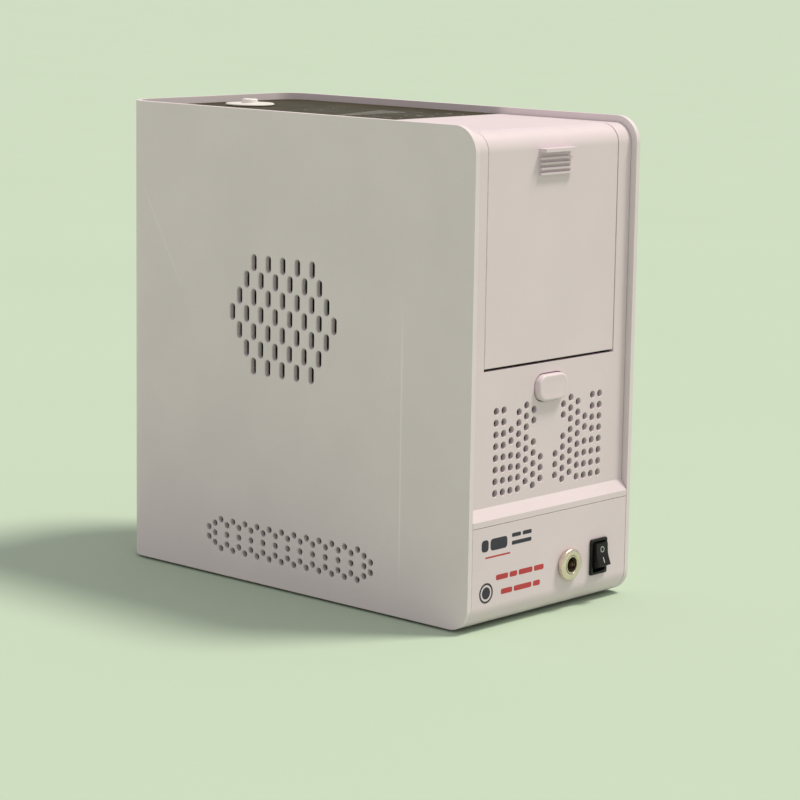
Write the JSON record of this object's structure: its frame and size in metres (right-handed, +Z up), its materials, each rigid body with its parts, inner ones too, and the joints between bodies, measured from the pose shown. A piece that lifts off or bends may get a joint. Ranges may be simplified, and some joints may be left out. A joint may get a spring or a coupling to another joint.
{
  "type": "anesthesia machine",
  "caption": "Tall box-shaped tabletop anesthesia machine with vented sides, a drop-down front door, a grille, a push button, a power inlet and switch, and a dark touch panel on top.",
  "frame": {"origin": "centre of the object's box in X and Y, at the level that the feet stand on", "axes": "+X to the right of someone facing the front, +Y from the front to the rear, +Z up"},
  "size_m": [0.142, 0.305, 0.2775],
  "materials": {
    "shell": "fine moulded grain, satin",
    "fascia": "smooth satin moulding",
    "touch_glass": "dark gloss overlay",
    "cap": "satin",
    "rubber": "matte",
    "black_plastic": "satin",
    "nickel": "dull nickel plate",
    "steel": "machined",
    "aluminium": "machined",
    "grey_plastic": "satin",
    "clear_plastic": "clear",
    "granules": "chalky",
    "circuit_board": "solder mask",
    "copper": "enamelled winding wire",
    "hose": "silicone rubber"
  },
  "bodies": {
    "housing": {"outer_shell": "shell", "base_plate": "fascia", "chin_panel": "fascia", "front_fascia": "fascia", "top_deck": "fascia", "touch_panel": "touch_glass", "foot_front_left": "rubber", "foot_front_right": "rubber", "foot_rear_left": "rubber", "foot_rear_right": "rubber", "base_screw_front_left": "steel", "base_screw_front_right": "steel", "base_screw_rear_left": "steel", "base_screw_rear_right": "steel", "hinge_pin_left": "steel", "hinge_pin_right": "steel", "strike_plate": "steel", "bay_liner": "grey_plastic", "canister_cup": "clear_plastic", "canister_granules": "granules", "canister_gasket": "rubber", "canister_lid": "grey_plastic", "flush_valve": "aluminium", "button_spring": "steel", "inlet_ring": "nickel", "inlet_barrel": "nickel", "inlet_insulator": "black_plastic", "inlet_pin": "nickel", "switch_body": "black_plastic", "filler_neck": "grey_plastic", "vaporizer_tank": "aluminium", "vaporizer_wick": "granules", "vaporizer_block": "aluminium", "oxygen_inlet": "nickel", "oxygen_inlet_nut": "steel", "fresh_gas_outlet": "aluminium", "fresh_gas_outlet_nut": "steel", "scavenging_outlet": "aluminium", "scavenging_outlet_nut": "steel", "pump_motor": "steel", "pump_head": "grey_plastic", "pump_cradle": "rubber", "gas_manifold": "aluminium", "solenoid_valve": "steel", "solenoid_coil": "copper", "hose_oxygen": "hose", "hose_fresh_gas": "hose", "hose_pump": "hose", "fan_frame": "black_plastic", "loudspeaker": "black_plastic", "main_board": "circuit_board", "power_board": "circuit_board", "touch_board": "circuit_board"},
    "door": {"door": "fascia", "door_magnet": "steel"},
    "push_button": {"push_button": "cap"},
    "power_rocker": {"switch_rocker": "black_plastic"},
    "filler_cap": {"filler_cap": "cap", "cap_seal": "rubber"},
    "fan_impeller": {"fan_impeller": "black_plastic"}
  },
  "joints": [
    {"name": "door_hinge", "type": "hinge", "parent": "housing", "child": "door", "pos_m": [0, -0.14022, 0.1474], "axis": [1, 0, 0], "range_deg": [0, 90]},
    {"name": "button_press", "type": "slide", "parent": "housing", "child": "push_button", "axis": [0, 1, 0], "range_m": [0, 0.0025], "stiffness_N_per_m": 400, "springref_m": -0.004, "deforming": ["button_spring"]},
    {"name": "rocker_tilt", "type": "hinge", "parent": "housing", "child": "power_rocker", "pos_m": [0.042, -0.14342, 0.0271], "axis": [1, 0, 0], "range_deg": [0, 24]},
    {"name": "cap_lift", "type": "slide", "parent": "housing", "child": "filler_cap", "axis": [0, 0, 1], "range_m": [0, 0.015]},
    {"name": "fan_spin", "type": "hinge", "parent": "housing", "child": "fan_impeller", "pos_m": [-0.0603, -0.00212, 0.1597], "axis": [1, 0, 0], "continuous": true}
  ]
}
